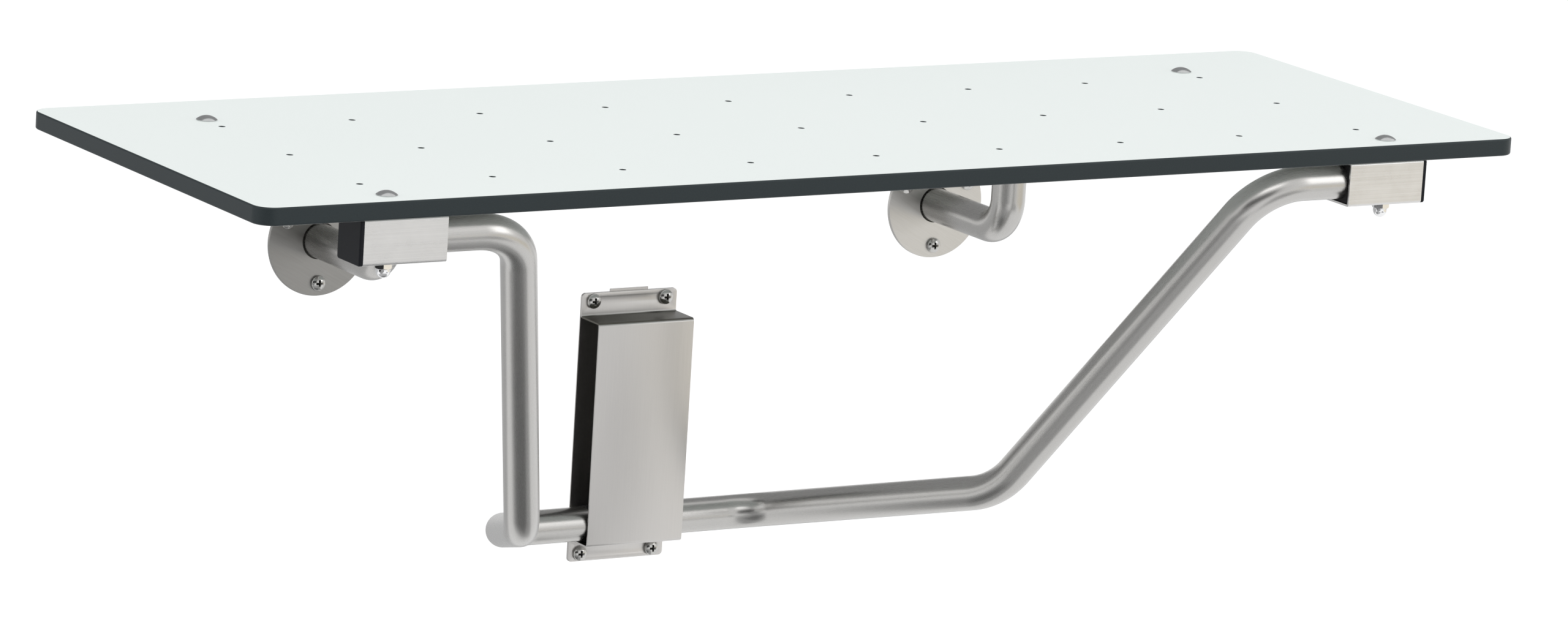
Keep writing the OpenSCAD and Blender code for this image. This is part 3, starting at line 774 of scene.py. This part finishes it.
# Acorn nuts. Polished, 11.1 mm across the flats, closed by a round dome, and drawn up
# against the sleeves from below.
def acorn_nut_mesh():
    """A hexagon with its corners turned off, over a collar and a dome that hangs down."""
    flats, hexagon, height = 11.1 * MM, 5.5 * MM, 12 * MM
    body = bmesh.new()
    bmesh.ops.create_cone(
        body, cap_ends=True, segments=6, radius1=flats / math.sqrt(3), radius2=flats / math.sqrt(3), depth=hexagon,
        matrix=Matrix.Translation((0, 0, -hexagon / 2)) @ Matrix.Rotation(math.radians(30), 4, "Z"),
    )
    prism = bpy.data.meshes.new("prism")
    body.to_mesh(prism)
    body.free()
    chamfer = turned_mesh("chamfer", [[
        (5.4, 0.0), (6.5, -0.65), (6.5, -4.6), (5.3, -5.5),
    ]])
    nut = bpy.data.objects.new("nut", prism)
    tool = bpy.data.objects.new("tool", chamfer)
    scene.collection.objects.link(nut)
    scene.collection.objects.link(tool)
    cut = nut.modifiers.new("chamfer", "BOOLEAN")
    cut.operation = "INTERSECT"
    cut.object = tool
    made = settle(nut, "acorn_nut", 20)
    bpy.data.objects.remove(tool)
    mesh = made.data
    bpy.data.objects.remove(made)
    bm = bmesh.new()
    bm.from_mesh(mesh)
    r = flats / 2 - 0.35 * MM
    top = -height + r
    turned(bm, [(r - 0.3 * MM, -hexagon + 0.3 * MM), (r, -hexagon - 0.2 * MM), (r, top)] + [
        (r * math.cos(math.radians(90 * k / 16)) if k < 16 else 0, top - r * math.sin(math.radians(90 * k / 16)))
        for k in range(1, 17)
    ])
    bmesh.ops.recalc_face_normals(bm, faces=bm.faces)
    bm.to_mesh(mesh)
    bm.free()
    return mesh


nut_steel = satin_metal("nut_steel", (0.74, 0.74, 0.75), (0.82, 0.82, 0.82), (0.03, 0.06), 0.01, 900, 900, (0, 0, 0), 120.0)
NUT_Z = AXIS_Z - SLEEVE_HALF
NUT_TURNS = (12, 5.4, 47, 10)
place_copies(
    "seat_bolt_nuts", acorn_nut_mesh(), [(x, y, NUT_Z) for x, y in BOLT_PLACES],
    [(0, 0, math.radians(a)) for a in NUT_TURNS], nut_steel, "seat", ["acorn_nuts"], 20,
)

# Flanges. Stainless discs, 81 by 3 mm, flat on the wall, with the tube through the middle
# in a fine gap whose wall and floor are painted dark as shade, and three screw holes. The
# left disc's steel is darkened as painted shade.
FLANGE_R = 40.5 * MM
FLANGE_T = 3 * MM
SCREW_CIRCLE = 31 * MM
GAP_R, GAP_FLOOR = 13.7 * MM, 2.2 * MM
# Flange steel, and the same steel darkened to 0.58 for the left disc: painted shade, for the shade it stands in.
flange_steel, left_flange_painted_shade = [
    satin_metal(
        name, [c * shade for c in (0.53, 0.52, 0.50)], [c * shade for c in (0.60, 0.59, 0.57)],
        (0.30, 0.38), 0.04, 900, 40, (0, 60, 90), 14.0,
    ) for name, shade in (("flange_steel", 1.0), ("left_flange_painted_shade", 0.58))
]
# A near black steel that stands for shade: painted shade in the flanges' gaps and on the bracket's inner side.
painted_shade_steel = satin_metal(
    "painted_shade_steel", (0.05, 0.048, 0.044), (0.08, 0.077, 0.07), (0.5, 0.6), 0.05, 900, 16, (0, 0, 0), 9.0,
)
SCREW_ANGLES = [math.radians(a) for a in (270, 30, 150)]
for hand, s in (("left", -1), ("right", 1)):
    screw_spots = [(s * SCREW_CIRCLE * math.cos(a), SCREW_CIRCLE * math.sin(a)) for a in SCREW_ANGLES]
    holes = [round_outline(GAP_R, 72)] + [round_outline(2.95 * MM, 24, spot) for spot in screw_spots]
    mesh = cut_slab(hand + "_wall_disc", round_outline(FLANGE_R, 128), holes, FLANGE_T, 0.4 * MM, 0, 3)
    bm = bmesh.new()
    bm.from_mesh(mesh)
    # The gap's wall, and the ring at its floor below, take the painted shade steel.
    for face in bm.faces:
        face.material_index = int(face.calc_center_median().xy.length < GAP_R)
    rings = [
        [bm.verts.new((x, y, GAP_FLOOR)) for x, y in round_outline(r, 72)(0)] for r in (TUBE_R, GAP_R)
    ]
    for k in range(72):
        n = (k + 1) % 72
        bm.faces.new((rings[0][k], rings[1][k], rings[1][n], rings[0][n])).material_index = 1
    bm.to_mesh(mesh)
    bm.free()
    mesh.transform(Matrix.Translation((s * 260 * MM, 0, 0)) @ Matrix.Rotation(math.radians(90), 4, "X"))
    put(
        mesh, hand + "_wall_disc", [left_flange_painted_shade if s < 0 else flange_steel, painted_shade_steel],
        "wall_hinges", [hand + "_flange"],
    )

# Screws. Stainless pan heads with a cross recess, 5.5 by 16 mm: three in each flange and
# four through the bracket's tabs, all stood at the same turn.
def screw_mesh():
    """A pan head with its cross recess cut in, over a plain shank with a point, along +Z."""
    head = turned_mesh("screw", [
        [(0.4, -16.0), (2.75, -12.0), (2.75, -3.2), (2.5, -3.2), (2.5, 0.0), (5.45, 0.0), (5.6, 0.25), (5.6, 1.2)] + [
            (5.6 - 1.15 * (1 - math.cos(math.radians(a))), 1.2 + 1.25 * math.sin(math.radians(a)))
            for a in (15, 30, 45, 60)
        ] + [(4.2, 2.75), (3.2, 3.2), (2.1, 3.47), (1.0, 3.57), (0, 3.6)],
    ])
    bm = bmesh.new()
    reach, width, deep = 3.2 * MM, 0.85 * MM, 1.9 * MM
    for turn in (0, 90):
        corners = []
        for z, k in ((3.6 * MM - deep, 0.35), (4.2 * MM, 1.12)):
            for x, y in ((-1, -1), (1, -1), (1, 1), (-1, 1)):
                p = Matrix.Rotation(math.radians(turn), 4, "Z") @ Vector((x * reach * k, y * width * (0.75 + 0.25 * k), z))
                corners.append(bm.verts.new(p))
        for face in ((3, 2, 1, 0), (4, 5, 6, 7), (0, 1, 5, 4), (1, 2, 6, 5), (2, 3, 7, 6), (3, 0, 4, 7)):
            bm.faces.new([corners[i] for i in face])
    recess = bpy.data.meshes.new("recess")
    bm.to_mesh(recess)
    bm.free()
    screw = bpy.data.objects.new("screw", head)
    tool = bpy.data.objects.new("recess", recess)
    scene.collection.objects.link(screw)
    scene.collection.objects.link(tool)
    cut = screw.modifiers.new("recess", "BOOLEAN")
    cut.operation = "DIFFERENCE"
    cut.object = tool
    cut.use_self = True
    made = settle(screw, "screw", 35)
    bpy.data.objects.remove(tool)
    mesh = made.data
    bpy.data.objects.remove(made)
    # Points inside the cross recess get a mask of 1, for the painted shade in the recess.
    recess_shade_mask = mesh.attributes.new("recess_shade_mask", "FLOAT", "POINT").data
    for vertex, value in zip(mesh.vertices, recess_shade_mask):
        x, y, z = vertex.co / MM
        value.value = float(math.hypot(x, y) < 3.9 and 0.3 < z < 2.6)
    return mesh


screw_steel = satin_metal(
    "screw_steel", (0.44, 0.435, 0.42), (0.56, 0.555, 0.54), (0.12, 0.20), 0.04, 1500, 1500, (0, 0, 0), 300.0,
)
# The masked recess is mixed towards near black: painted shade, where the recess lies in shade.
tree = screw_steel.node_tree
recess_painted_shade = add_node(tree, "ShaderNodeMix", {7: (0.015, 0.015, 0.013, 1)}, data_type="RGBA")
recess_shade_mask = add_node(tree, "ShaderNodeAttribute", attribute_name="recess_shade_mask")
shader = tree.nodes["Principled BSDF"]
clean = shader.inputs["Base Color"].links[0].from_socket
tree.links.new(recess_shade_mask.outputs["Fac"], recess_painted_shade.inputs["Factor"])
tree.links.new(clean, recess_painted_shade.inputs[6])
tree.links.new(recess_painted_shade.outputs[2], shader.inputs["Base Color"])
pan_screw = screw_mesh()
for hand, s in (("left", -1), ("right", 1)):
    spots = [
        (s * (260 * MM + SCREW_CIRCLE * math.cos(a)), -FLANGE_T, SCREW_CIRCLE * math.sin(a)) for a in SCREW_ANGLES
    ]
    place_copies(
        hand + "_wall_screws", pan_screw.copy(), spots,
        [(math.radians(90), 0, 0)] * 3, screw_steel, "wall_hinges", [hand + "_flange_screws"], 30,
    )
GUIDE_MID = -152.7 * MM
SCREW_OUT, SCREW_RISE = 30.4 * MM, 95.15 * MM
place_copies(
    "guide_screws", pan_screw.copy(),
    [(x * SCREW_OUT, -2.2 * MM, GUIDE_MID + z * SCREW_RISE) for x in (-1, 1) for z in (-1, 1)],
    [(math.radians(90), 0, 0)] * 4, screw_steel, "guide", ["bracket_screws"], 30,
)

# Guide bracket. Stainless sheet, 1.2 mm, folded four times into a box that is open at its
# sides, with a tab above and below for the screws. Its front is plain. Its inner side is
# painted dark as shade, and its upper web is darkened with painted shade.
SHEET = 1.2 * MM
GUIDE_HALF = 40 * MM
bracket_steel = satin_metal(
    "bracket_steel", (0.535, 0.522, 0.507), (0.57, 0.556, 0.540), (0.30, 0.36), 0.05, 1500, 24, (0, 0, 0), 9.0,
)


def folded_bracket():
    """The sheet's middle surface: a strip round the box, and a tab with two holes at each end."""
    tab_y, front_y = -1.6 * MM, -28.6 * MM
    half_box = 84.15 * MM - SHEET / 2
    inner, outer = 1.8 * MM, 1.9 * MM

    def fold(cx, cz, r, a0, a1, steps=8):
        return [
            (cx + r * math.cos(math.radians(a0 + (a1 - a0) * k / steps)),
             cz + r * math.sin(math.radians(a0 + (a1 - a0) * k / steps))) for k in range(steps + 1)
        ]
    upper = fold(tab_y - inner, half_box + inner, inner, 0, -90)
    upper += fold(front_y + outer, half_box - outer, outer, 90, 180)
    strip = upper + [(y, -z) for y, z in reversed(upper)]
    bm = bmesh.new()
    rows = [[bm.verts.new((x, y, GUIDE_MID + z)) for x in (-GUIDE_HALF, GUIDE_HALF)] for y, z in strip]
    for a, b in zip(rows, rows[1:]):
        bm.faces.new((a[0], a[1], b[1], b[0]))
    tab_end, corner = 101.15 * MM, 3 * MM
    for row, up in ((rows[0], 1), (rows[-1], -1)):
        loop = [row[0], row[1]]
        for k in range(9):
            a = math.radians(90 * k / 8)
            loop.append(bm.verts.new((
                GUIDE_HALF - corner + corner * math.cos(a), tab_y, GUIDE_MID + up * (tab_end - corner + corner * math.sin(a)),
            )))
        for k in range(9):
            a = math.radians(90 + 90 * k / 8)
            loop.append(bm.verts.new((
                -GUIDE_HALF + corner + corner * math.cos(a), tab_y, GUIDE_MID + up * (tab_end - corner + corner * math.sin(a)),
            )))
        edges = [bm.edges.get((a, b)) or bm.edges.new((a, b)) for a, b in zip(loop, loop[1:] + loop[:1])]
        for x in (-SCREW_OUT, SCREW_OUT):
            ring = [
                bm.verts.new((x + 2.95 * MM * math.cos(math.tau * k / 24), tab_y,
                              GUIDE_MID + up * SCREW_RISE + 2.95 * MM * math.sin(math.tau * k / 24)))
                for k in range(24)
            ]
            edges += [bm.edges.new((a, b)) for a, b in zip(ring, ring[1:] + ring[:1])]
        bmesh.ops.triangle_fill(bm, use_beauty=True, use_dissolve=False, edges=edges, normal=(0, -1, 0))
    # Mask of 1 on the upper web's front part, for the painted shade that darkens it.
    web_shade_mask = bm.verts.layers.float.new("web_shade_mask")
    for vert in bm.verts:
        z = vert.co.z - GUIDE_MID
        vert[web_shade_mask] = float(half_box - 0.35 * outer < z < half_box + inner and vert.co.y < tab_y - inner / 2)
    bmesh.ops.recalc_face_normals(bm, faces=bm.faces)
    bm.faces.ensure_lookup_table()
    front = min(bm.faces, key=lambda f: f.calc_center_median().y)
    if front.normal.y > 0:
        bmesh.ops.reverse_faces(bm, faces=bm.faces)
    mesh = bpy.data.meshes.new("guide_box")
    bm.to_mesh(mesh)
    bm.free()
    return mesh


# The masked upper web is mixed towards a dark brown grey: painted shade and painted reflection of the plate above.
tree = bracket_steel.node_tree
web_painted_shade_mix = add_node(tree, "ShaderNodeMix", {7: (0.11, 0.105, 0.09, 1)}, data_type="RGBA")
web_shade_mask = add_node(tree, "ShaderNodeAttribute", attribute_name="web_shade_mask")
shader = tree.nodes["Principled BSDF"]
clean = shader.inputs["Base Color"].links[0].from_socket
tree.links.new(web_shade_mask.outputs["Fac"], web_painted_shade_mix.inputs["Factor"])
tree.links.new(clean, web_painted_shade_mix.inputs[6])
tree.links.new(web_painted_shade_mix.outputs[2], shader.inputs["Base Color"])
sheet = bpy.data.objects.new("guide_box", folded_bracket())
scene.collection.objects.link(sheet)
thick = sheet.modifiers.new("sheet", "SOLIDIFY")
thick.thickness = SHEET
thick.offset = 0
thick.use_even_offset = True
# The sheet's inner side takes the painted shade steel: painted shade inside the box.
thick.material_offset = 1
sheet.data.materials.append(bracket_steel)
sheet.data.materials.append(painted_shade_steel)
soft = sheet.modifiers.new("burr", "BEVEL")
soft.width = 0.15 * MM
soft.segments = 2
soft.limit_method = "ANGLE"
soft.angle_limit = math.radians(50)
guide_box = settle(sheet, "guide_box", 30)
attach(guide_box, "guide")
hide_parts("guide_bracket")

# Plate behind the bracket, and the glide on the bar inside it. Both keep the CAD's own form.
for name, material in (("guide_back_plate", bracket_steel), ("bar_glide", nylon)):
    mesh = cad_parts[name].data
    if not mesh.materials:
        mesh.materials.append(material)
    for i in range(len(mesh.materials)):
        mesh.materials[i] = material
